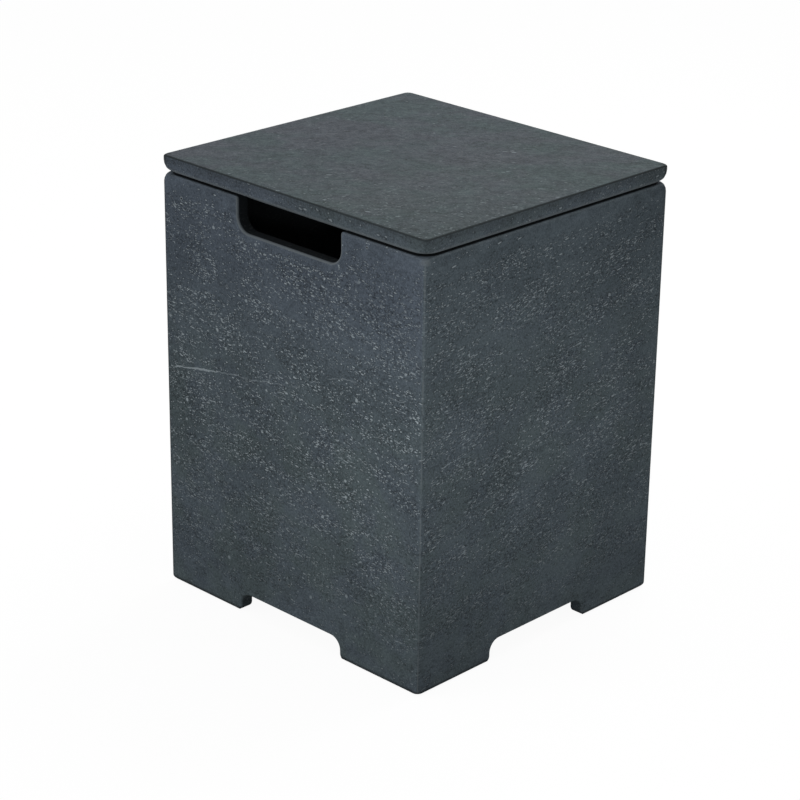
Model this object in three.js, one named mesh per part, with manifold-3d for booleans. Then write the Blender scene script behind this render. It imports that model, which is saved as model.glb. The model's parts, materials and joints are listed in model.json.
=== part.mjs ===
// A side table of cast concrete that stands over an upright gas cylinder and hides it.
// The shell is one casting, open below so that it drops over the cylinder and open above under its lid.
// It has a hand notch at the rim of the front and the back, and stands on four corner feet.
// The lid lifts straight off. A rim under it drops inside the shell, and rubber bumpers carry it.
// Millimetres, +Z up, the origin on the floor under the middle of the plan. -Y is the front.
import * as THREE from "three";
import { mergeVertices } from "three/addons/utils/BufferGeometryUtils.js";
import Module from "manifold-3d";

// The shell, measured over its faces and from the underside of its feet to its rim.
const shellWidth = 400;
const shellDepth = 383;
const shellHeight = 494.2;
const shellCornerRadius = 3;
const shellRimRound = 1.8;
const shellRimBlunting = 10;
const shellFootRound = 3.2;
const shellFootBlunting = 5;
// The inside draws out upwards and downwards from the mould, so the wall is thicker at the feet.
const wallAtRim = 16.5;
const wallAtFeet = 18;
const insideCornerRadius = 12;
const insideEdgeRound = 2.5;

// The hand notch in the rim, front and back.
const notchWidth = 158;
const notchDrop = 38;
const notchCornerRadius = 17;
const notchShoulderRound = 3;
const notchFaceRound = 1.8;

// The low opening between two feet, one on each side.
const frontArchWidth = 160;
const sideArchWidth = 154;
const archRise = 24;
const archCornerRadius = 14;
const archToeRound = 7;
const archFaceRound = 2;

// The lid, flush with the shell's faces, and the rim cast under it.
const lidThickness = 17.9;
const lidCornerRadius = 3;
const lidTopRound = 1.8;
const lidTopBlunting = 3;
const lidUnderRound = 3;
const lidUnderBlunting = 12;
const lidGap = 2.8;
const locatingRimDrop = 10;
const locatingRimWidth = 14;
const locatingRimRound = 3;
const locatingRimDraft = 0.5;
const locatingRimClearance = 2.5;

// Rubber: domed bumpers stuck on the shell's rim, and flat strips under the feet.
const bumperDiameter = 7;
const bumperEdgeRound = 1;
const bumperFromCorner = 52;
const footStripLength = 46;
const footStripWidth = 8;
const footStripThickness = 1.5;
const footStripEndRadius = 3.5;

// How much rounder an upright corner gets over the length of its blunting.
const bluntingShare = 1.8;

// What touches keeps this gap. Every cut runs past its faces by the overrun.
const seatGap = 0.3;
const overrun = 5;

// Steps in a quarter round along an edge, in half a corner seen in plan, and round a bumper.
const edgeSteps = 4;
const cornerSteps = 4;
const bumperSides = 18;
const quarterTurn = Math.PI / 2;

// Levels and half sizes that the pieces share.
const footLevel = footStripThickness + seatGap;
const rimLevel = footLevel + shellHeight;
const lidUnderLevel = rimLevel + lidGap;
const lidTopLevel = lidUnderLevel + lidThickness;
const shellHalfWidth = shellWidth / 2;
const shellHalfDepth = shellDepth / 2;

const wasm = await Module();
wasm.setup();

function wallAt(level) {
  return THREE.MathUtils.mapLinear(level, footLevel, rimLevel, wallAtFeet, wallAtRim);
}

// A rectangle with round corners, centred on the axis.
function roundedRectangle(halfX, halfY, radius) {
  const outline = new THREE.Shape();
  const [x, y] = [halfX - radius, halfY - radius];
  outline.absarc(x, y, radius, 0, quarterTurn);
  outline.absarc(-x, y, radius, quarterTurn, 2 * quarterTurn);
  outline.absarc(-x, -y, radius, 2 * quarterTurn, 3 * quarterTurn);
  outline.absarc(x, -y, radius, 3 * quarterTurn, 4 * quarterTurn);
  return outline;
}

// An opening that starts at a free edge along y = 0 and reaches up into the wall: round shoulders
// at the edge, straight sides and round inner corners. Grow widens it all round.
function edgeOpening({ halfWidth, reach, corner, shoulder }, grow) {
  const outline = new THREE.Shape();
  const [side, top, round] = [halfWidth + grow, reach + grow, corner + grow];
  const mouth = side + shoulder;
  outline.moveTo(-mouth, -overrun);
  outline.lineTo(mouth, -overrun);
  outline.absarc(mouth, shoulder, shoulder, 3 * quarterTurn, 2 * quarterTurn, true);
  outline.absarc(side - round, top - round, round, 0, quarterTurn);
  outline.absarc(round - side, top - round, round, quarterTurn, 2 * quarterTurn);
  outline.absarc(-mouth, shoulder, shoulder, 0, -quarterTurn, true);
  return outline;
}

// The points of an outline, counter-clockwise.
function outlinePoints(outline) {
  const points = outline.getPoints(cornerSteps);
  return THREE.ShapeUtils.isClockWise(points) ? points.reverse() : points;
}

// A closed solid through sections, each an outline at its own height, lowest first.
function loft(sections) {
  const rings = sections.map(({ outline, z }) => ({ points: outlinePoints(outline), z }));
  const count = rings[0].points.length;
  const positions = rings.flatMap(({ points, z }) => points.flatMap((p) => [p.x, p.y, z]));
  const indices = [];
  for (let ring = 0; ring < rings.length - 1; ring++) {
    for (let i = 0; i < count; i++) {
      const [a, b] = [ring * count + i, ring * count + ((i + 1) % count)];
      indices.push(a, b, b + count, a, b + count, a + count);
    }
  }
  const lastRing = (rings.length - 1) * count;
  const capOf = ({ points }) => THREE.ShapeUtils.triangulateShape(points, []);
  capOf(rings[0]).forEach(([a, b, c]) => indices.push(a, c, b));
  capOf(rings[rings.length - 1]).forEach((cap) => indices.push(...cap.map((i) => lastRing + i)));
  const geometry = new THREE.BufferGeometry();
  geometry.setAttribute("position", new THREE.Float32BufferAttribute(positions, 3));
  geometry.setIndex(indices);
  return geometry;
}

// The steps of a quarter round: how far along the side, and how far in from it.
function quarterRound(radius) {
  return Array.from({ length: edgeSteps + 1 }, (_, step) => {
    const angle = (quarterTurn * step) / edgeSteps;
    return { along: radius * Math.sin(angle), inset: radius * (1 - Math.cos(angle)) };
  });
}

// How far in from the side a quarter round lies, at a distance from its end.
function insetAt(radius, fromEnd) {
  const along = Math.max(radius - fromEnd, 0);
  return radius - Math.sqrt(radius ** 2 - along ** 2);
}

// The sections that round one end of a block, the last one at the end itself. Blunting also makes
// the upright corners rounder towards the end, as a hand that rubs a casting down does.
function roundedEnd(round, blunting) {
  const fromEnds = (radius) => quarterRound(radius).map(({ along }) => radius - along);
  const blunted = fromEnds(blunting).filter((fromEnd) => fromEnd > round);
  return [...blunted, ...fromEnds(round)].map((fromEnd) => ({
    fromEnd,
    inset: insetAt(round, fromEnd),
    growth: bluntingShare * insetAt(blunting, fromEnd),
  }));
}

// A block with round upright corners and round edges above and below. The rounds of two sides
// meet in a mitre at the corner, as they do where each edge is run along a straight mould.
function roundedBlock({ halfX, halfY, corner, low, high, draft = 0 }) {
  const section = ({ inset, growth }, z) => {
    return { outline: roundedRectangle(halfX - inset, halfY - inset, corner + growth), z };
  };
  const lower = roundedEnd(low.round, low.blunting ?? 0).reverse();
  const upper = roundedEnd(high.round, high.blunting ?? 0);
  return loft([
    ...lower.map((end) => section({ ...end, inset: end.inset + draft }, low.level + end.fromEnd)),
    ...upper.map((end) => section(end, high.level - end.fromEnd)),
  ]);
}

// A geometry as a solid that can be cut and joined.
function solidOf(geometry) {
  const merged = mergeVertices(geometry);
  const vertProperties = merged.getAttribute("position").array;
  const triVerts = new Uint32Array(merged.getIndex().array);
  return new wasm.Manifold(new wasm.Mesh({ numProp: 3, vertProperties, triVerts }));
}

function geometryOf(solid) {
  const { vertProperties, triVerts } = solid.getMesh();
  const geometry = new THREE.BufferGeometry();
  geometry.setAttribute("position", new THREE.BufferAttribute(vertProperties, 3));
  geometry.setIndex(new THREE.BufferAttribute(triVerts, 1));
  geometry.computeVertexNormals();
  return geometry;
}

// The space inside the shell, wider towards the rim, its edges rounded outwards at both ends.
function shellInside() {
  const section = (z, grow) => {
    const wall = wallAt(z) - grow;
    const corner = insideCornerRadius + grow;
    return { outline: roundedRectangle(shellHalfWidth - wall, shellHalfDepth - wall, corner), z };
  };
  const low = footLevel + insideEdgeRound;
  const high = rimLevel - insideEdgeRound;
  const flare = quarterRound(insideEdgeRound);
  return loft([
    section(footLevel - overrun, insideEdgeRound),
    ...[...flare].reverse().map(({ along, inset }) => section(low - along, inset)),
    ...flare.map(({ along, inset }) => section(high + along, inset)),
    section(rimLevel + overrun, insideEdgeRound),
  ]);
}

// A cut through one wall. The outline stands in the wall's plane, and its edges are rounded
// where they meet the outer and the inner face. Down turns an opening in the feet into one in the rim.
function wallCutter({ opening, level, down, outerFace, innerFace, faceRound, turn }) {
  const section = (grow, z) => ({ outline: edgeOpening(opening, grow), z });
  const inner = innerFace + insideEdgeRound;
  const outer = outerFace - faceRound;
  const geometry = loft([
    section(insideEdgeRound, innerFace - overrun),
    ...quarterRound(insideEdgeRound)
      .reverse()
      .map(({ along, inset }) => section(inset, inner - along)),
    ...quarterRound(faceRound).map(({ along, inset }) => section(inset, outer + along)),
    section(faceRound, outerFace + overrun),
  ]);
  if (down) geometry.rotateZ(2 * quarterTurn);
  geometry.rotateX(quarterTurn);
  geometry.translate(0, 0, level);
  geometry.rotateZ(turn);
  return geometry;
}

// The two turns of a cutter that bring it to the front and back, or to the right and left.
const frontAndBack = [0, 2 * quarterTurn];
const rightAndLeft = [quarterTurn, 3 * quarterTurn];

function notchCutters() {
  const opening = {
    halfWidth: notchWidth / 2,
    reach: notchDrop,
    corner: notchCornerRadius,
    shoulder: notchShoulderRound,
  };
  const outerFace = shellHalfDepth;
  const innerFace = outerFace - wallAt(rimLevel - notchDrop);
  const place = { level: rimLevel, down: true, outerFace, innerFace, faceRound: notchFaceRound };
  return frontAndBack.map((turn) => wallCutter({ opening, ...place, turn }));
}

function archCutters(width, outerFace, turns) {
  const opening = {
    halfWidth: width / 2,
    reach: archRise,
    corner: archCornerRadius,
    shoulder: archToeRound,
  };
  const innerFace = outerFace - wallAt(footLevel + archRise);
  const place = { level: footLevel, down: false, outerFace, innerFace, faceRound: archFaceRound };
  return turns.map((turn) => wallCutter({ opening, ...place, turn }));
}

function shellGeometry() {
  const outside = roundedBlock({
    halfX: shellHalfWidth,
    halfY: shellHalfDepth,
    corner: shellCornerRadius,
    low: { level: footLevel, round: shellFootRound, blunting: shellFootBlunting },
    high: { level: rimLevel, round: shellRimRound, blunting: shellRimBlunting },
  });
  const cuts = [
    shellInside(),
    ...notchCutters(),
    ...archCutters(frontArchWidth, shellHalfDepth, frontAndBack),
    ...archCutters(sideArchWidth, shellHalfWidth, rightAndLeft),
  ];
  return geometryOf(cuts.reduce((solid, cut) => solid.subtract(solidOf(cut)), solidOf(outside)));
}

// The lid: a slab with its corners rubbed round underneath, and a ring that drops inside the shell.
function lidGeometry() {
  const slab = roundedBlock({
    halfX: shellHalfWidth,
    halfY: shellHalfDepth,
    corner: lidCornerRadius,
    low: { level: lidUnderLevel, round: lidUnderRound, blunting: lidUnderBlunting },
    high: { level: lidTopLevel, round: lidTopRound, blunting: lidTopBlunting },
  });
  const ringOutset = wallAtRim + locatingRimClearance;
  const ringLow = lidUnderLevel - locatingRimDrop;
  const ringHigh = lidUnderLevel + lidThickness / 2;
  const ringOutside = roundedBlock({
    halfX: shellHalfWidth - ringOutset,
    halfY: shellHalfDepth - ringOutset,
    corner: insideCornerRadius,
    low: { level: ringLow, round: locatingRimRound },
    high: { level: ringHigh, round: locatingRimRound },
    draft: locatingRimDraft,
  });
  const hollow = (z, grow) => {
    const inset = ringOutset + locatingRimWidth - grow;
    const [halfX, halfY] = [shellHalfWidth - inset, shellHalfDepth - inset];
    return { outline: roundedRectangle(halfX, halfY, insideCornerRadius + grow), z };
  };
  const ringInside = loft([
    hollow(ringLow - overrun, locatingRimRound + locatingRimDraft),
    ...quarterRound(locatingRimRound)
      .reverse()
      .map(({ along, inset }) => hollow(ringLow + locatingRimRound - along, inset + locatingRimDraft)),
    hollow(lidUnderLevel, 0),
  ]);
  const ring = solidOf(ringOutside).subtract(solidOf(ringInside));
  return geometryOf(solidOf(slab).add(ring));
}

// A flat disc with a soft upper edge, standing on its own origin.
function bumperGeometry() {
  const height = lidGap - 2 * seatGap;
  const radius = bumperDiameter / 2;
  const edge = quarterRound(bumperEdgeRound).map(
    ({ along, inset }) => new THREE.Vector2(radius - inset, height - bumperEdgeRound + along),
  );
  const [foot, rim, crown] = [
    new THREE.Vector2(0, 0),
    new THREE.Vector2(radius, 0),
    new THREE.Vector2(0, height),
  ];
  const profile = [foot, rim, ...edge, crown];
  return new THREE.LatheGeometry(profile, bumperSides).rotateX(quarterTurn);
}

// A flat strip with round corners, standing on its own origin.
function footStripGeometry(halfX, halfY) {
  const outline = roundedRectangle(halfX, halfY, footStripEndRadius);
  return loft([
    { outline, z: 0 },
    { outline, z: footStripThickness },
  ]);
}

const concrete = new THREE.MeshStandardMaterial({ color: 0x4b5358, roughness: 0.85, metalness: 0 });
const rubber = new THREE.MeshStandardMaterial({ color: 0x1c1c1e, roughness: 0.8, metalness: 0 });

function addPiece(group, name, geometry, material, x = 0, y = 0, z = 0) {
  const mesh = new THREE.Mesh(geometry, material);
  mesh.name = name;
  mesh.position.set(x, y, z);
  group.add(mesh);
}

const table = new THREE.Group();
const base = new THREE.Group();
const lid = new THREE.Group();
table.add(base, lid);

addPiece(base, "shell", shellGeometry(), concrete);
addPiece(lid, "lid", lidGeometry(), concrete);

// Two bumpers stand on the rim and two strips lie under the feet at each corner, one on each wall.
// The bumpers stand at the inner edge of the rim's flat, out of sight under the flat of the lid,
// and the strips on the middle line of the flat under the feet.
const bumperInset = wallAtRim - insideEdgeRound - bumperDiameter / 2;
const bumperLevel = rimLevel + seatGap;
const stripInset = (shellFootRound + wallAtFeet - insideEdgeRound) / 2;
const stripAlongFront = (shellHalfWidth + frontArchWidth / 2) / 2;
const stripAlongSide = (shellHalfDepth + sideArchWidth / 2) / 2;
const [stripHalfLength, stripHalfWidth] = [footStripLength / 2, footStripWidth / 2];

const frontBumper = [shellHalfWidth - bumperFromCorner, shellHalfDepth - bumperInset];
const sideBumper = [shellHalfWidth - bumperInset, shellHalfDepth - bumperFromCorner];
const frontStrip = [stripAlongFront, shellHalfDepth - stripInset];
const sideStrip = [shellHalfWidth - stripInset, stripAlongSide];

for (const [depthName, ySign] of [["front", -1], ["back", 1]]) {
  for (const [widthName, xSign] of [["left", -1], ["right", 1]]) {
    const addBumper = (name, [x, y]) =>
      addPiece(base, `bumper_${name}`, bumperGeometry(), rubber, xSign * x, ySign * y, bumperLevel);
    addBumper(`${depthName}_${widthName}`, frontBumper);
    addBumper(`${widthName}_${depthName}`, sideBumper);
    const addStrip = (name, geometry, [x, y]) =>
      addPiece(base, `foot_strip_${name}`, geometry, rubber, xSign * x, ySign * y);
    addStrip(`${depthName}_${widthName}`, footStripGeometry(stripHalfLength, stripHalfWidth), frontStrip);
    addStrip(`${widthName}_${depthName}`, footStripGeometry(stripHalfWidth, stripHalfLength), sideStrip);
  }
}

export default table;
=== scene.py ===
import json
from math import radians

import bmesh
import bpy
from mathutils import Matrix, Vector


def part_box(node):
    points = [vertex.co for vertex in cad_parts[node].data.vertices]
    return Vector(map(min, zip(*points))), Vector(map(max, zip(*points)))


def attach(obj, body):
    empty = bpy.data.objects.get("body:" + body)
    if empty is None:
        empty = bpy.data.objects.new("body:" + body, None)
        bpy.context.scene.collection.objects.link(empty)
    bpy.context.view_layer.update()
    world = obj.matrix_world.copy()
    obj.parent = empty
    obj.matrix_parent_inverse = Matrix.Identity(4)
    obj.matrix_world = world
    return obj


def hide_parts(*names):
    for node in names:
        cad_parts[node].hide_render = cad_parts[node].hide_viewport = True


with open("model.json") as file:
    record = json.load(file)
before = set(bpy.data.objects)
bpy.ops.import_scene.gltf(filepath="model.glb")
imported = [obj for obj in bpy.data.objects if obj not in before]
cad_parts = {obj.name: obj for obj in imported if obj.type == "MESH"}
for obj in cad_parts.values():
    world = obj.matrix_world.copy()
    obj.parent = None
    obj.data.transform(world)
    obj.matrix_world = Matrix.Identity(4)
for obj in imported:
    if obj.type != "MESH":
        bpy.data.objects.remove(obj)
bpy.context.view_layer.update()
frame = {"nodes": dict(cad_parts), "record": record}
base_nodes = frame["record"]["behaviour"]["bodies"]["base"]


# Foot strips: flat strips of black rubber, die-cut from sheet and glued under the corner feet, two
# to a foot. They lift the concrete off the paving, so that water drains and the feet don't chip.

RUBBER_COLOUR = (0.012, 0.012, 0.013, 1.0)
RUBBER_DUST_COLOUR = (0.05, 0.05, 0.048, 1.0)
RUBBER_GLOSS = 0.35
# A cloud's numbers are how many to a metre, the levels of finer ones in it, and their strength.
SHEET_GRAIN = (900.0, 2.0)
SHEET_DUST = (60.0, 4.0, 0.6)
SHEET_GRAIN_HEIGHT = 0.00006
# A fade's numbers are its start and its end, and then its value before and after them.
SHEET_DUSTY = (0.45, 0.75)
RUBBER_ROUGHNESS = (0.3, 0.7, 0.64, 0.80)
WELD_DISTANCE = 0.000002
FLAT_WITHIN = radians(0.5)


def put(tree, kind, inputs, **settings):
    """Adds one node, with its sockets linked or set, and returns its outputs."""
    node = tree.nodes.new("ShaderNode" + kind)
    for name, value in settings.items():
        setattr(node, name, value)
    for socket, value in inputs.items():
        if isinstance(value, bpy.types.NodeSocket):
            tree.links.new(value, node.inputs[socket])
        else:
            node.inputs[socket].default_value = value
    return node.outputs


def maths(tree, operation, *values):
    return put(tree, "Math", dict(enumerate(values)), operation=operation)[0]


def product(tree, first, *others):
    for other in others:
        first = maths(tree, "MULTIPLY", first, other)
    return first


def fade(tree, value, start, end, low=0.0, high=1.0, kind="SMOOTHSTEP"):
    """low up to start and high from end, with a smooth step between them."""
    sockets = {"Value": value, "From Min": start, "From Max": end, "To Min": low, "To Max": high}
    return put(tree, "MapRange", sockets, interpolation_type=kind)[0]


def cloud(tree, at, scale, detail=2.0, roughness=0.5):
    sockets = {"Vector": at, "Scale": scale, "Detail": detail, "Roughness": roughness}
    return put(tree, "TexNoise", sockets)


def blend_colours(tree, share, first, second):
    return put(tree, "Mix", {0: share, 6: first, 7: second}, data_type="RGBA")[2]


def new_finish(name):
    """A material with an empty tree, and its Object coordinates."""
    finish = bpy.data.materials.new(name)
    finish.use_nodes = True
    finish.node_tree.nodes.clear()
    return finish, put(finish.node_tree, "TexCoord", {})["Object"]


def surface(tree, height, **sockets):
    """Ends a finish: the height in metres becomes bump, and the rest goes on the shader."""
    bumped = put(tree, "Bump", {"Height": height, "Distance": 1.0})[0]
    named = {name.replace("_", " "): value for name, value in sockets.items()}
    shader = put(tree, "BsdfPrincipled", {**named, "Normal": bumped})[0]
    put(tree, "OutputMaterial", {"Surface": shader})


def rubber_finish(name):
    """Matt black rubber with the grain of its mould or sheet, and dust lying on it in places."""
    finish, at = new_finish(name)
    tree = finish.node_tree
    grain = cloud(tree, at, *SHEET_GRAIN)["Fac"]
    dusty = fade(tree, cloud(tree, at, *SHEET_DUST)["Fac"], *SHEET_DUSTY)
    surface(
        tree,
        product(tree, grain, SHEET_GRAIN_HEIGHT),
        Base_Color=blend_colours(tree, dusty, RUBBER_COLOUR, RUBBER_DUST_COLOUR),
        Roughness=fade(tree, grain, *RUBBER_ROUGHNESS),
        Specular_IOR_Level=RUBBER_GLOSS,
    )
    return finish


def stand_in_for(node, name, finish, body):
    """Makes the node's form as one welded, smoothly shaded piece that takes its place."""
    mesh = bpy.data.meshes.new(name)
    form = bmesh.new()
    form.from_mesh(frame["nodes"][node].data)
    bmesh.ops.remove_doubles(form, verts=form.verts, dist=WELD_DISTANCE)
    bmesh.ops.dissolve_limit(form, angle_limit=FLAT_WITHIN, verts=form.verts, edges=form.edges)
    form.to_mesh(mesh)
    form.free()
    mesh.shade_smooth()
    mesh.materials.append(finish)
    piece = bpy.data.objects.new(name, mesh)
    bpy.context.scene.collection.objects.link(piece)
    piece.modifiers.new("flat_faces", "WEIGHTED_NORMAL").weight = 100
    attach(piece, body)
    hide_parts(node)


strip_rubber = rubber_finish("strip_rubber")
for strip in [name for name in base_nodes if name.startswith("foot_strip")]:
    stand_in_for(strip, strip.replace("foot_strip", "strip"), strip_rubber, "base")


# Shell: one casting of slate grey glass-fibre concrete, open below and above. Its mould leaves a
# plain band under the rim and round the notches. Pale specks of sand and fibre show on the rest.

SLATE_BLUE = (0.087, 0.107, 0.137, 1.0)
SLATE_GREEN = (0.083, 0.107, 0.1155, 1.0)
SPECK_COLOUR = (0.47, 0.54, 0.58, 1.0)
PORE_AND_SHADE_COLOUR = (0.012, 0.013, 0.014, 1.0)
WEAR_AND_HIGHLIGHT_COLOUR = (0.17, 0.195, 0.21, 1.0)
INSIDE_SHADE_COLOUR = (0.010, 0.012, 0.013, 1.0)
SHELL_GLOSS = 0.08
NOTCH_HALF, NOTCH_DROP, NOTCH_CORNER = 0.079, 0.038, 0.017
# The mould was tilted while it filled, so the strokes fall towards the front right corner: hardly
# on the front, and by about 9 degrees on the right. Across this direction the pattern is pressed
# together, and along the side walls it is drawn out.
SIDE_LAY = (0.08, -0.20, 0.975)
SIDE_PULL = 3.2
SIDE_DRAW = (1.0, 0.76, 1.0)

# The kinds of spots: the metres between them, how many of them are there, and their smallest and
# largest radius as shares of those metres. Strokes have one number for their width instead.
DOTS = (0.0036, 0.83, 0.21, 0.44)
DASHES = (0.0088, 0.82, 0.14, 0.34)
DROPS = (0.017, 0.42, 0.08, 0.15)
PORES = (0.017, 0.12, 0.05, 0.10)
CURLS = (0.0110, 1.08, 0.042)
DROP_STRENGTH, CURL_STRENGTH, SPECK_STRENGTH = 0.9, 0.75, 0.88
FAINTEST_SPOT, SPOT_CORE, DIMPLE_REACH = 0.16, 0.62, 2.1
# A second cloud, read elsewhere, breaks the strokes up: they stay where it is above a limit, which
# falls as their share grows.
ELSEWHERE = (3.1, 1.7, 5.3)
BREAKS_TO_A_STROKE = 2.2
STROKE_LIMIT, STROKE_LIMIT_FALL, STROKE_END = 0.78, 0.24, 0.04

shell_low, shell_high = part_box("shell")


def total(tree, first, *others):
    for other in others:
        first = maths(tree, "ADD", first, other)
    return first


def highest(tree, first, *others):
    for other in others:
        first = maths(tree, "MAXIMUM", first, other)
    return first


def rest_of(tree, share):
    return maths(tree, "SUBTRACT", 1.0, share)


def switch(tree, mask, off, on):
    """off where the mask is 0 and on where it is 1."""
    return fade(tree, mask, 0.0, 1.0, off, on)


def channel(tree, name, colour):
    return put(tree, "SeparateColor", {"Color": colour})[name]


def scaled(tree, vector, factor):
    return put(tree, "VectorMath", {0: vector, "Scale": factor}, operation="SCALE")[0]


def swayed(tree, sway, reach, at):
    """Coordinates that a cloud's colour moves by up to reach metres."""
    sockets = {0: sway, 1: (reach,) * 3, 2: at}
    return put(tree, "VectorMath", sockets, operation="MULTIPLY_ADD")[0]


def between(tree, share, first, second):
    """Coordinates between two others."""
    return put(tree, "Mix", {0: share, 4: first, 5: second}, data_type="VECTOR")[1]


def pressed(tree, at, way, pull):
    """Coordinates in which a pattern is pressed together along one way, so longer across it."""
    along = put(tree, "VectorMath", {0: at, 1: way}, operation="DOT_PRODUCT")["Value"]
    push = scaled(tree, tuple((pull - 1) * part for part in way), along)
    return put(tree, "VectorMath", {0: at, 1: push}, operation="ADD")[0]


def specks(tree, at, kind, share=1.0):
    """Spots of one kind, each of its own size and strength, and the dimples round them."""
    spacing, count, smallest, largest = kind
    cell = put(tree, "TexVoronoi", {"Vector": at, "Scale": 1 / spacing})
    drawn = put(tree, "SeparateColor", {"Color": cell["Color"]})
    size = switch(tree, drawn["Green"], smallest, largest)
    spot = fade(tree, cell["Distance"], size, product(tree, size, SPOT_CORE))
    dimple = fade(tree, cell["Distance"], product(tree, size, DIMPLE_REACH), size)
    chosen = maths(tree, "LESS_THAN", drawn["Red"], product(tree, share, count))
    strength = switch(tree, drawn["Blue"], FAINTEST_SPOT, 1.0)
    return product(tree, spot, chosen, strength), product(tree, dimple, chosen)


def strokes(tree, at, kind, share=1.0):
    """Thin curved strokes, 1 on their line: pieces of the lines where a cloud is at its middle."""
    spacing, count, width = kind
    ridge = cloud(tree, at, 1 / spacing, 1.0)["Fac"]
    off_line = maths(tree, "ABSOLUTE", maths(tree, "SUBTRACT", ridge, 0.5))
    line = fade(tree, off_line, width, width * 0.5)
    elsewhere = put(tree, "VectorMath", {0: at, 1: ELSEWHERE}, operation="ADD")[0]
    breaks = cloud(tree, elsewhere, BREAKS_TO_A_STROKE / spacing, 1.0)["Fac"]
    fall = product(tree, share, count, STROKE_LIMIT_FALL)
    limit = maths(tree, "SUBTRACT", STROKE_LIMIT, fall)
    kept = fade(tree, breaks, limit, maths(tree, "ADD", limit, STROKE_END))
    return product(tree, line, kept)


def past_round(tree, radius, first, second):
    """How far outside a round corner a point lies, from its two distances past the straights."""
    reach = {0: highest(tree, first, 0.0), 1: highest(tree, second, 0.0)}
    way = put(tree, "CombineXYZ", reach)[0]
    from_centre = put(tree, "VectorMath", {0: way}, operation="LENGTH")["Value"]
    return maths(tree, "SUBTRACT", from_centre, radius)


def in_from_sides(tree, place, high):
    """How far a point lies in from its left or right face, and from its front or back face."""
    return [
        maths(tree, "SUBTRACT", reach, maths(tree, "ABSOLUTE", place[axis]))
        for axis, reach in (("X", high.x), ("Y", high.y))
    ]


def corners_in_shade(tree, place):
    """1 towards the front left and back right corners, which get painted shade, and 0 towards the
    other two.
    """
    return maths(tree, "GREATER_THAN", product(tree, place["X"], place["Y"]), 0.0)


# The clouds in the concrete, from the finest to the widest, with what each does to the stone's
# level, which is its share of the slate colour.
GRAIN, GRAIN_LEVELS = (620.0, 2.0, 0.7), (0.3, 0.7, -0.20, 0.20)
SAND_SCALE, SAND_LEVELS = 420.0, (0.75, 0.15, -0.22, 0.26)
MOTTLE, MOTTLE_LEVELS = (85.0, 3.0, 0.6), (0.3, 0.7, -0.06, 0.06)
BLOTCHES, BLOTCH_LEVELS = (60.0, 4.0, 0.65), (0.34, 0.66, -0.22, 0.22)
PATCHES, PATCH_LEVELS = (11.0, 3.0, 0.55), (0.32, 0.68, 1.07, 1.31)
# Sand shows most where specks gather. The stone among them and in their dimples is darker.
SAND_ALONE = SAND_AMONG_SPECKS = 0.6
AMONG_SPECKS, IN_DIMPLES = -0.10, -0.34
# The casts, and where the specks gather: there are more of them, and the stone is bluer.
TINTS, TINTED = (19.0, 4.0, 0.6), (0.38, 0.62)
GATHERING, GATHERED = (17.0, 4.0, 0.6), (0.30, 0.66)
GATHERED_SHARES = (0.30, 0.94)
GATHERED_HUES = (-0.07, 0.07)
# What bends the spots and the strokes, and how far. Dots lie less along the lay than dashes do.
SWAY = (150.0, 1.0)
SPOT_SWAY, STROKE_SWAY = 0.0030, 0.0032
DOTS_ALONG_LAY = 0.4
# Heights in metres.
PATCH_HEIGHT, MOTTLE_HEIGHT, GRAIN_HEIGHT = 0.0006, 0.00012, 0.00005
SPECK_HEIGHT, DIMPLE_HEIGHT, PORE_HEIGHT = 0.00014, -0.00014, -0.0006
CONCRETE_ROUGHNESS = (0.3, 0.7, 0.76, 0.88)


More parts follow.
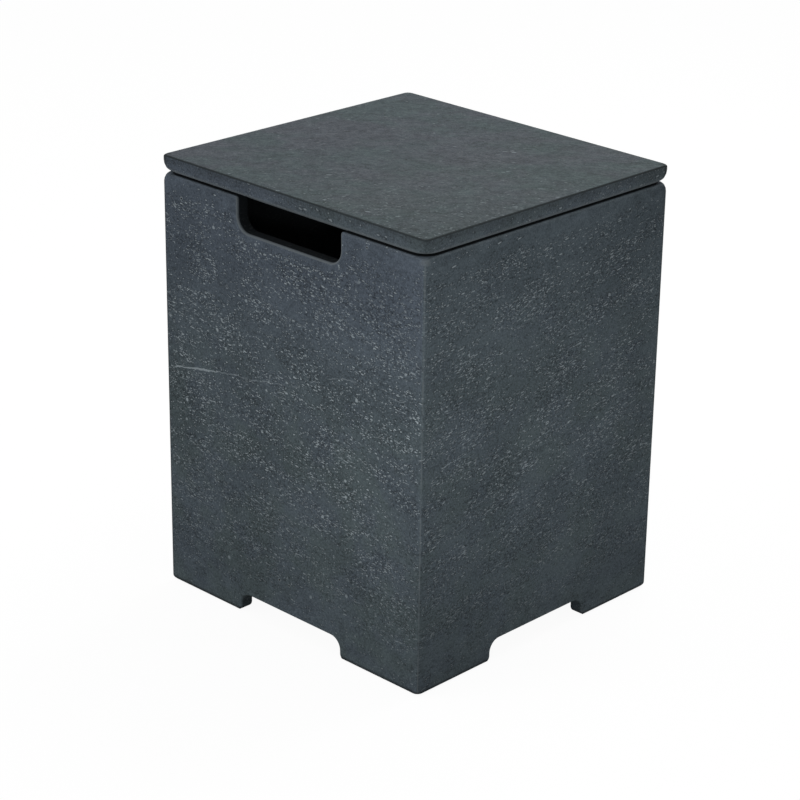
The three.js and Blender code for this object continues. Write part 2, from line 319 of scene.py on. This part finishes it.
def slate_concrete(tree, at, lay, bare, hues, blue, speckled, wear_and_highlight):
    """Colour, height and roughness of the concrete.

    lay is at, pressed together across the way in which the strokes lie. bare is 1 where the stone
    is plain, and wear_and_highlight is 1 where it has wear or a painted highlight. hues are its
    greenest and its bluest hue, from 0 green to 1 blue, and blue is how blue it is at least.
    speckled is how strongly specks show.
    """
    sway = cloud(tree, at, *SWAY)["Color"]
    wander = swayed(tree, sway, SPOT_SWAY, at)
    bent_lay = swayed(tree, sway, STROKE_SWAY, lay)
    dot_lay = between(tree, DOTS_ALONG_LAY, wander, bent_lay)

    patches = cloud(tree, at, *PATCHES)["Fac"]
    mottle = cloud(tree, lay, *MOTTLE)["Fac"]
    grain = cloud(tree, at, *GRAIN)["Fac"]
    sand = put(tree, "TexVoronoi", {"Vector": wander, "Scale": SAND_SCALE})["Distance"]
    blotches = cloud(tree, at, *BLOTCHES)["Fac"]
    showing = rest_of(tree, bare)
    dense = fade(tree, cloud(tree, lay, *GATHERING)["Fac"], *GATHERED)
    share = product(tree, switch(tree, dense, *GATHERED_SHARES), showing)

    tint = channel(tree, "Red", cloud(tree, at, *TINTS)["Color"])
    hue = total(tree, fade(tree, tint, *TINTED, *hues), switch(tree, dense, *GATHERED_HUES))
    stone = blend_colours(tree, highest(tree, hue, blue), SLATE_GREEN, SLATE_BLUE)

    dots, dot_dimples = specks(tree, dot_lay, DOTS, share)
    dashes, dash_dimples = specks(tree, bent_lay, DASHES, share)
    drops, _ = specks(tree, wander, DROPS, showing)
    curls = strokes(tree, bent_lay, CURLS, share)
    pores, _ = specks(tree, wander, PORES)
    dimples = highest(tree, dot_dimples, dash_dimples)
    pale = highest(
        tree,
        dots,
        dashes,
        product(tree, drops, DROP_STRENGTH),
        product(tree, curls, CURL_STRENGTH),
    )
    pale = product(tree, pale, speckled)

    sandy = maths(tree, "MULTIPLY_ADD", share, SAND_AMONG_SPECKS, SAND_ALONE)
    level = total(
        tree,
        fade(tree, patches, *PATCH_LEVELS),
        fade(tree, mottle, *MOTTLE_LEVELS),
        fade(tree, grain, *GRAIN_LEVELS),
        product(tree, sandy, fade(tree, sand, *SAND_LEVELS)),
        product(tree, bare, fade(tree, blotches, *BLOTCH_LEVELS)),
        product(tree, share, AMONG_SPECKS),
        product(tree, dimples, IN_DIMPLES),
    )
    stone = scaled(tree, stone, level)
    stone = blend_colours(tree, product(tree, pale, SPECK_STRENGTH), stone, SPECK_COLOUR)
    # Paler where there is wear, and painted highlight on edges that face the light.
    stone = blend_colours(tree, wear_and_highlight, stone, WEAR_AND_HIGHLIGHT_COLOUR)
    stone = blend_colours(tree, pores, stone, PORE_AND_SHADE_COLOUR)

    height = total(
        tree,
        product(tree, patches, PATCH_HEIGHT),
        product(tree, mottle, MOTTLE_HEIGHT),
        product(tree, grain, GRAIN_HEIGHT),
        product(tree, dimples, DIMPLE_HEIGHT),
        product(tree, pale, SPECK_HEIGHT),
        product(tree, pores, PORE_HEIGHT),
    )
    return stone, height, fade(tree, mottle, *CONCRETE_ROUGHNESS)


shell_finish, at = new_finish("shell_concrete")
tree = shell_finish.node_tree
place = put(tree, "SeparateXYZ", {"Vector": at})

# Where a point lies. A point counts as on a face within 2 to 3 mm of it.
ON_FACE = (0.0030, 0.0020)
below_rim = maths(tree, "SUBTRACT", shell_high.z, place["Z"])
in_x, in_y = in_from_sides(tree, place, shell_high)
on_face_x = fade(tree, in_x, *ON_FACE)
on_face_y = fade(tree, in_y, *ON_FACE)
on_front = fade(tree, maths(tree, "ADD", place["Y"], shell_high.y), *ON_FACE)
from_arris = highest(tree, in_x, in_y)
past_side = maths(tree, "SUBTRACT", maths(tree, "ABSOLUTE", place["X"]), NOTCH_HALF - NOTCH_CORNER)
past_foot = maths(tree, "SUBTRACT", below_rim, NOTCH_DROP - NOTCH_CORNER)
from_notch = past_round(tree, NOTCH_CORNER, past_side, past_foot)

# The plain bands that the mould leaves, by their distance from the edge in metres.
RIM_BAND = (0.0288, 0.0120, 0.0, 0.85)
ARRIS_BAND = (0.007, 0.002, 0.0, 0.5)
NOTCH_BAND = (0.015, 0.005, 0.0, 0.8)
FOOT_BAND = (0.09, 0.01, 0.0, 0.7)
bare = highest(
    tree,
    fade(tree, below_rim, *RIM_BAND),
    fade(tree, from_arris, *ARRIS_BAND),
    product(tree, fade(tree, from_notch, *NOTCH_BAND), on_face_y),
    fade(tree, place["Z"], *FOOT_BAND),
)

# Pale edges, partly wear from hands and paving and partly painted highlight: two of the upright
# corners, most at their tops, the notches and the rim. Painted shade darkens the other two
# corners, the bottom edges and the lower parts of the left and right faces.
RUBBING, RUBBED = (16.0, 3.0, 0.6), (0.40, 0.62, 0.18, 0.70)
ARRIS_WEAR_AND_HIGHLIGHT = (0.0017, 0.0010)
CORNER_WEAR_AND_HIGHLIGHT = (0.0095, 0.0040, 0.0, 0.55)
NOTCH_WEAR_AND_HIGHLIGHT = (0.0026, 0.0016, 0.0, 0.80)
RIM_WEAR_AND_HIGHLIGHT = (0.0030, 0.0014, 0.0, 0.20)
ARRIS_SHADE = (0.0046, 0.0014, 0.0, 0.60)
FOOT_SHADE = (0.0064, 0.0030, 0.0, 0.65)
LOW_SHADE = (0.16, 0.0, 0.0, 0.15)
shade_corners = corners_in_shade(tree, place)
highlight_corners = rest_of(tree, shade_corners)
rubbing = fade(tree, cloud(tree, at, *RUBBING)["Fac"], *RUBBED)
# Wear along the edges, with painted highlight on the edges that face the light.
wear_and_highlight = highest(
    tree,
    fade(tree, below_rim, *RIM_WEAR_AND_HIGHLIGHT),
    product(tree, fade(tree, from_arris, *ARRIS_WEAR_AND_HIGHLIGHT), rubbing, highlight_corners),
    product(tree, fade(tree, highest(tree, from_arris, below_rim), *CORNER_WEAR_AND_HIGHLIGHT), highlight_corners),
    product(tree, fade(tree, from_notch, *NOTCH_WEAR_AND_HIGHLIGHT), on_face_y),
)
# Painted shade on two upright corners, along the bottom edges and low on the left and right faces.
painted_shade = highest(
    tree,
    product(tree, fade(tree, from_arris, *ARRIS_SHADE), shade_corners),
    fade(tree, maths(tree, "SUBTRACT", place["Z"], shell_low.z), *FOOT_SHADE),
    product(tree, fade(tree, place["Z"], *LOW_SHADE), on_face_x),
)

# The stone is bluer towards the rim and greener on the left and right faces. Its specks are
# fainter there, towards the feet, and on the right of the notches.
BLUE_UPWARDS, BLUE_ON_SIDES = (0.22, 0.46, 0.0, 0.85), 0.4
SPECKS_UPWARDS, SPECKS_ON_SIDES = (0.02, 0.28, 0.50, 1.0), 0.74
RIGHT_OF_NOTCH, LEVEL_WITH_NOTCH = (0.070, 0.120, 0.0, 0.36), (0.36, 0.43)
GREENEST, BLUEST = (-0.03, 0.06), (0.49, 0.38)
blue = product(
    tree, fade(tree, place["Z"], *BLUE_UPWARDS), switch(tree, on_face_x, 1.0, BLUE_ON_SIDES)
)
hues = switch(tree, on_face_x, *GREENEST), switch(tree, on_face_x, *BLUEST)
beside_notch = product(
    tree,
    fade(tree, place["X"], *RIGHT_OF_NOTCH),
    on_face_y,
    fade(tree, place["Z"], *LEVEL_WITH_NOTCH),
)
speckled = product(
    tree,
    fade(tree, place["Z"], *SPECKS_UPWARDS),
    switch(tree, on_face_x, 1.0, SPECKS_ON_SIDES),
    rest_of(tree, beside_notch),
)
drawn_out = put(tree, "VectorMath", {0: at, 1: SIDE_DRAW}, operation="MULTIPLY")[0]
lay = pressed(tree, drawn_out, SIDE_LAY, SIDE_PULL)
colour, height, roughness = slate_concrete(tree, at, lay, bare, hues, blue, speckled, wear_and_highlight)
# The painted shade takes the dark colour of the pores.
colour = blend_colours(tree, painted_shade, colour, PORE_AND_SHADE_COLOUR)

# A fine pale line crosses the front in waves: metres from the middle, and above the feet.
HAIRLINE = (
    (-0.200, 0.267),
    (-0.179, 0.271),
    (-0.145, 0.277),
    (-0.108, 0.284),
    (-0.018, 0.297),
    (0.026, 0.309),
    (0.049, 0.323),
    (0.116, 0.335),
    (0.163, 0.332),
    (0.200, 0.342),
)
LINE_LOW, LINE_HIGH = 0.25, 0.35
LINE_WOBBLE, LINE_WOBBLE_HEIGHT = (90.0, 2.0), 0.008
LINE_HALF_WIDTHS, LINE_CORE = (0.0008, 0.0013), 0.4
LINE_DEEP_END, LINE_START = (-0.105, -0.125), (-0.192, -0.182)
LINE_BREAKS, LINE_KEPT = (38.0, 2.0), (0.48, 0.58, 0.0, 0.42)
LINE_STRENGTH = 0.62


def curve_through(tree, along, points):
    """How high a smooth curve through the points passes, each from 0 to 1 both ways."""
    node = tree.nodes.new("ShaderNodeFloatCurve")
    curve = node.mapping.curves[0].points
    curve[0].location, curve[1].location = points[0], points[-1]
    for point in points[1:-1]:
        curve.new(*point)
    node.mapping.update()
    tree.links.new(along, node.inputs["Value"])
    return node.outputs[0]


along = fade(tree, place["X"], -shell_high.x, shell_high.x, kind="LINEAR")
points = [
    (0.5 + x / (2 * shell_high.x), (z - LINE_LOW) / (LINE_HIGH - LINE_LOW)) for x, z in HAIRLINE
]
line_level = fade(
    tree,
    curve_through(tree, along, points),
    0.0,
    1.0,
    shell_low.z + LINE_LOW,
    shell_low.z + LINE_HIGH,
    kind="LINEAR",
)
wobble = maths(tree, "SUBTRACT", cloud(tree, at, *LINE_WOBBLE)["Fac"], 0.5)
line_level = maths(tree, "MULTIPLY_ADD", wobble, LINE_WOBBLE_HEIGHT, line_level)
off_line = maths(tree, "ABSOLUTE", maths(tree, "SUBTRACT", place["Z"], line_level))
deep_end = fade(tree, place["X"], *LINE_DEEP_END)
half_width = switch(tree, deep_end, *LINE_HALF_WIDTHS)
kept = fade(tree, cloud(tree, at, *LINE_BREAKS)["Fac"], *LINE_KEPT)
hairline = product(
    tree,
    fade(tree, off_line, half_width, product(tree, half_width, LINE_CORE)),
    highest(tree, kept, deep_end),
    fade(tree, place["X"], *LINE_START),
    on_front,
    LINE_STRENGTH,
)
colour = blend_colours(tree, hairline, colour, SPECK_COLOUR)

# Painted shade darkens the interior. It starts 1 to 3 mm within a line that follows the outline
# but turns wider round its corners, and it is weaker by the floor, so that the arches show the
# wall's thickness.
INSIDE_LINE_CORNER = 0.021
INSIDE_SHADE = (-0.0011, -0.0034)
INSIDE_SHADE_STRENGTH = (0.022, 0.034, 0.45, 0.95)
past_line = past_round(
    tree,
    INSIDE_LINE_CORNER,
    maths(tree, "SUBTRACT", INSIDE_LINE_CORNER, in_x),
    maths(tree, "SUBTRACT", INSIDE_LINE_CORNER, in_y),
)
inside_shade = product(
    tree, fade(tree, past_line, *INSIDE_SHADE), fade(tree, place["Z"], *INSIDE_SHADE_STRENGTH)
)
# Painted shade in the interior.
colour = blend_colours(tree, inside_shade, colour, INSIDE_SHADE_COLOUR)
roughness = highest(tree, roughness, inside_shade)
surface(tree, height, Base_Color=colour, Roughness=roughness, Specular_IOR_Level=SHELL_GLOSS)
stand_in_for("shell", "shell_casting", shell_finish, "base")


# Bumpers: domed rubber discs stuck on the shell's rim, two near each corner. The lid sits on them,
# so it doesn't grate on the rim, and they leave the dark gap under it.

bumper_rubber = rubber_finish("bumper_rubber")
for bumper in [name for name in base_nodes if name.startswith("bumper")]:
    stand_in_for(bumper, bumper.replace("bumper", "pad"), bumper_rubber, "base")


# Lid: a thin slab of the same concrete, cast face down on a smooth mould and brushed, so its top
# is finer and plainer than the shell. A rim cast under it drops inside the shell and keeps it in
# place.

LID_GAP = 0.0028
LID_GLOSS = 0.26
LID_SHADE_AND_CURL_COLOUR = (0.028, 0.035, 0.037, 1.0)
TOP_GREEN = (0.083, 0.112, 0.113, 1.0)
TOP_GREY = (0.099, 0.110, 0.124, 1.0)
TOP_STRENGTH, SCRATCH_STRENGTH, FLECK_STRENGTH, CURL_STAIN_STRENGTH = 0.76, 0.75, 0.6, 0.6
# The brush ran from the front left corner to the back right one, across this direction.
BRUSH_LAY = (0.7071, -0.7071, 0.0)
BRUSH_PULL, SCRATCH_PULL, EDGE_PULL = 1.6, 2.6, 2.2
ON_TOP = (0.0012, 0.0002)

lid_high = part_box("lid")[1]
lid_finish, at = new_finish("lid_concrete")
tree = lid_finish.node_tree
place = put(tree, "SeparateXYZ", {"Vector": at})

# Where a point lies: from the top, from the underside, towards the front right corner, on top.
below_top = maths(tree, "SUBTRACT", lid_high.z, place["Z"])
above_under = maths(tree, "SUBTRACT", place["Z"], shell_high.z + LID_GAP)
to_front = maths(tree, "SUBTRACT", place["X"], place["Y"])
on_top = fade(tree, below_top, *ON_TOP)

# The stone itself: plainer on top, bluer to the left, and a painted highlight along its lower
# edge.
TOP_BARE, TOP_SPECKLED = (0.45, 0.80), (0.57, 0.87)
LID_HUES, BLUE_TO_LEFT = (0.11, 0.47), (0.09, -0.05, 0.1, 0.85)
UNDER_HIGHLIGHT = (0.0050, 0.0012, 0.0, 0.65)
brushed = pressed(tree, at, BRUSH_LAY, BRUSH_PULL)
colour, height, roughness = slate_concrete(
    tree,
    at,
    between(tree, on_top, pressed(tree, at, SIDE_LAY, EDGE_PULL), brushed),
    switch(tree, on_top, *TOP_BARE),
    LID_HUES,
    fade(tree, place["X"], *BLUE_TO_LEFT),
    switch(tree, on_top, *TOP_SPECKLED),
    # painted highlight along the lower edge
    fade(tree, above_under, *UNDER_HIGHLIGHT),
)

# What the brush left on top: a fine grain that swirls, in grey and green, with painted shade
# making it darker to the front.
SWIRL, SWIRL_REACH = (26.0, 1.0), 0.030
BRUSH_GRAIN, BRUSH_LEVELS = (130.0, 5.0, 0.72), (0.36, 0.64, 0.66, 1.34)
FINE_GRAIN, FINE_LEVELS = (480.0, 3.0, 0.7), (0.36, 0.64, -0.30, 0.30)
CLOUDING, CLOUDING_LEVELS = (34.0, 4.0, 0.65), (0.36, 0.64, -0.13, 0.13)
FRONT_SHADE_LEVELS = (0.15, 0.38, 0.0, -0.14)
CASTS, GREYED, GREYED_TO_FRONT = (10.0, 4.0, 0.6), (0.37, 0.59), (0.05, 0.33, 1.0, 0.45)
swirl = swayed(tree, cloud(tree, at, *SWIRL)["Color"], SWIRL_REACH, brushed)
top_level = total(
    tree,
    fade(tree, cloud(tree, swirl, *BRUSH_GRAIN)["Fac"], *BRUSH_LEVELS),
    fade(tree, cloud(tree, at, *FINE_GRAIN)["Fac"], *FINE_LEVELS),
    fade(tree, cloud(tree, swirl, *CLOUDING)["Fac"], *CLOUDING_LEVELS),
    # painted shade towards the front
    fade(tree, to_front, *FRONT_SHADE_LEVELS),
)
cast = channel(tree, "Blue", cloud(tree, swirl, *CASTS)["Color"])
greyed = product(tree, fade(tree, cast, *GREYED), fade(tree, to_front, *GREYED_TO_FRONT))
top_colour = scaled(tree, blend_colours(tree, greyed, TOP_GREEN, TOP_GREY), top_level)
colour = blend_colours(tree, product(tree, on_top, TOP_STRENGTH), colour, top_colour)

# Pale scratches and flecks, thicker to the front, and a few dark curls where the brush lifted.
SCRATCHES, SCRATCHED = (0.012, 1.0, 0.11, 0.27), (-0.15, 0.30, 0.22, 0.60)
FLECKS, FLECKED = (0.0045, 1.0, 0.16, 0.38), (0.05, 0.33, 0.0, 0.34)
DARK_CURLS = (0.030, 0.45, 0.022)
scratch_lay = pressed(tree, swirl, BRUSH_LAY, SCRATCH_PULL)
scratches, _ = specks(tree, scratch_lay, SCRATCHES, fade(tree, to_front, *SCRATCHED))
flecks, _ = specks(tree, brushed, FLECKS, fade(tree, to_front, *FLECKED))
scratches = highest(tree, scratches, product(tree, flecks, FLECK_STRENGTH))
scratches = product(tree, scratches, on_top, SCRATCH_STRENGTH)
colour = blend_colours(tree, scratches, colour, SPECK_COLOUR)
dark_curls = product(tree, strokes(tree, swirl, DARK_CURLS), on_top, CURL_STAIN_STRENGTH)
colour = blend_colours(tree, dark_curls, colour, LID_SHADE_AND_CURL_COLOUR)

# Painted shade: a dark line along the upper edge, a darkening that fades down the sides, and two
# of the corners, as on the shell.
EDGE_SHADE_TOP, EDGE_SHADE_END, EDGE_SHADE_STRENGTH = (0.0001, 0.0004), (0.0026, 0.0016), 0.9
SIDE_SHADE_TOP, SIDE_SHADE_END = (0.0001, 0.0014), (0.0020, 0.0130, 0.32, 0.0)
CORNER_SHADE = (0.0085, 0.0040, 0.0, 0.70)
in_x, in_y = in_from_sides(tree, place, lid_high)
from_corner = highest(tree, in_x, in_y)
painted_shade = highest(
    tree,
    product(
        tree,
        fade(tree, below_top, *EDGE_SHADE_TOP),
        fade(tree, below_top, *EDGE_SHADE_END),
        EDGE_SHADE_STRENGTH,
    ),
    product(
        tree, fade(tree, below_top, *SIDE_SHADE_TOP), fade(tree, below_top, *SIDE_SHADE_END)
    ),
    product(tree, fade(tree, from_corner, *CORNER_SHADE), corners_in_shade(tree, place)),
)
# Painted shade on the upper edge, the sides and two corners.
colour = blend_colours(tree, painted_shade, colour, LID_SHADE_AND_CURL_COLOUR)
roughness = highest(tree, roughness, rest_of(tree, on_top))
surface(tree, height, Base_Color=colour, Roughness=roughness, Specular_IOR_Level=LID_GLOSS)
stand_in_for("lid", "lid_casting", lid_finish, "lid")


# Studio: a pale paper floor that runs out of sight, a soft box hung high behind, one low at the
# front left, and a narrow lamp on the front right corner. The floor and the world are white to
# the camera, and for everything else they are as bright as the lamps make them.

WHITE = (1.0, 1.0, 1.0, 1.0)
FLOOR_COLOUR = (0.45, 0.45, 0.45, 1.0)
FLOOR_REACH = 12.0
SHADOW_COLOUR = (0.12, 0.12, 0.12, 1.0)
GLOW = 0.94
WORLD_STRENGTH = 0.36
OVERHEAD_PLACE, OVERHEAD_SIZE, OVERHEAD_POWER = (0.0, 1.5, 2.2), 1.6, 12.4
FRONT_PLACE, FRONT_SIZE, FRONT_POWER = (-1.1, -2.4, 1.2), 1.4, 13.4
CORNER_PLACE, CORNER_AIM, CORNER_POWER = (1.65, -1.55, 0.9), (0.19, -0.08, 0.29), 61.0
CORNER_OPENING, CORNER_SOFTNESS = radians(19.5), 0.12


def seen_directly(tree):
    """1 for the camera and for what gloss and glass show, 0 for light that falls on things."""
    ray = put(tree, "LightPath", {})
    seen = highest(tree, ray["Is Camera Ray"], ray["Is Glossy Ray"])
    return highest(tree, seen, ray["Is Transmission Ray"])


floor_mesh = bpy.data.meshes.new("studio_floor")
form = bmesh.new()
bmesh.ops.create_grid(form, x_segments=1, y_segments=1, size=FLOOR_REACH)
form.to_mesh(floor_mesh)
form.free()
floor = bpy.data.objects.new("studio_floor", floor_mesh)
bpy.context.scene.collection.objects.link(floor)
floor_finish = bpy.data.materials.new("floor_paper")
floor_finish.use_nodes = True
tree = floor_finish.node_tree
tree.nodes.clear()
lit = put(tree, "BsdfDiffuse", {"Color": FLOOR_COLOUR})[0]
shadowed = put(tree, "BsdfDiffuse", {"Color": SHADOW_COLOUR})[0]
white = put(tree, "Emission", {"Color": WHITE, "Strength": GLOW})[0]
shown = put(tree, "AddShader", {0: white, 1: shadowed})[0]
mixed = put(tree, "MixShader", {0: seen_directly(tree), 1: lit, 2: shown})[0]
put(tree, "OutputMaterial", {"Surface": mixed})
floor_mesh.materials.append(floor_finish)

world = bpy.data.worlds.new("studio")
world.use_nodes = True
bpy.context.scene.world = world
tree = world.node_tree
tree.nodes.clear()
ambient = put(tree, "Background", {"Color": WHITE, "Strength": WORLD_STRENGTH})[0]
backdrop = put(tree, "Background", {"Color": WHITE, "Strength": 1.0})[0]
mixed = put(tree, "MixShader", {0: seen_directly(tree), 1: ambient, 2: backdrop})[0]
put(tree, "OutputWorld", {"Surface": mixed})


def hang(name, lamp, place, aim):
    holder = bpy.data.objects.new(name, lamp)
    holder.location = place
    holder.rotation_euler = (Vector(aim) - Vector(place)).to_track_quat("-Z", "Y").to_euler()
    bpy.context.scene.collection.objects.link(holder)


def soft_box(name, place, aim, size, power):
    lamp = bpy.data.lights.new(name, "AREA")
    lamp.shape = "SQUARE"
    lamp.size = size
    lamp.energy = power
    hang(name, lamp, place, aim)


middle = (0.0, 0.0, shell_high.z / 2)
soft_box("overhead_box", OVERHEAD_PLACE, middle, OVERHEAD_SIZE, OVERHEAD_POWER)
soft_box("front_left_box", FRONT_PLACE, middle, FRONT_SIZE, FRONT_POWER)
corner_lamp = bpy.data.lights.new("corner_lamp", "SPOT")
corner_lamp.spot_size = CORNER_OPENING
corner_lamp.spot_blend = 1.0
corner_lamp.shadow_soft_size = CORNER_SOFTNESS
corner_lamp.energy = CORNER_POWER
hang("corner_lamp", corner_lamp, CORNER_PLACE, CORNER_AIM)


# Camera: above the front right corner, with a long lens, as the table was photographed. The
# photograph isn't centred on its optical axis, hence the shift.

CAMERA_PLACE = (1.8229, -1.8881, 1.3116)
CAMERA_AZIMUTH = radians(42.0611)
CAMERA_DROP = radians(22.3305)
CAMERA_ROLL = radians(1.6867)
CAMERA_LENS, CAMERA_SENSOR, CAMERA_SHIFT = 112.2, 36.0, -0.1125

camera = bpy.data.objects.new("camera", bpy.data.cameras.new("camera"))
camera.data.sensor_width = CAMERA_SENSOR
camera.data.lens = CAMERA_LENS
camera.data.shift_x = CAMERA_SHIFT
camera.data.clip_start = 0.1
camera.matrix_world = (
    Matrix.Translation(CAMERA_PLACE)
    @ Matrix.Rotation(CAMERA_AZIMUTH, 4, "Z")
    @ Matrix.Rotation(radians(90) - CAMERA_DROP, 4, "X")
    @ Matrix.Rotation(CAMERA_ROLL, 4, "Z")
)
bpy.context.scene.collection.objects.link(camera)
bpy.context.scene.camera = camera
bpy.context.scene.view_settings.view_transform = "Standard"
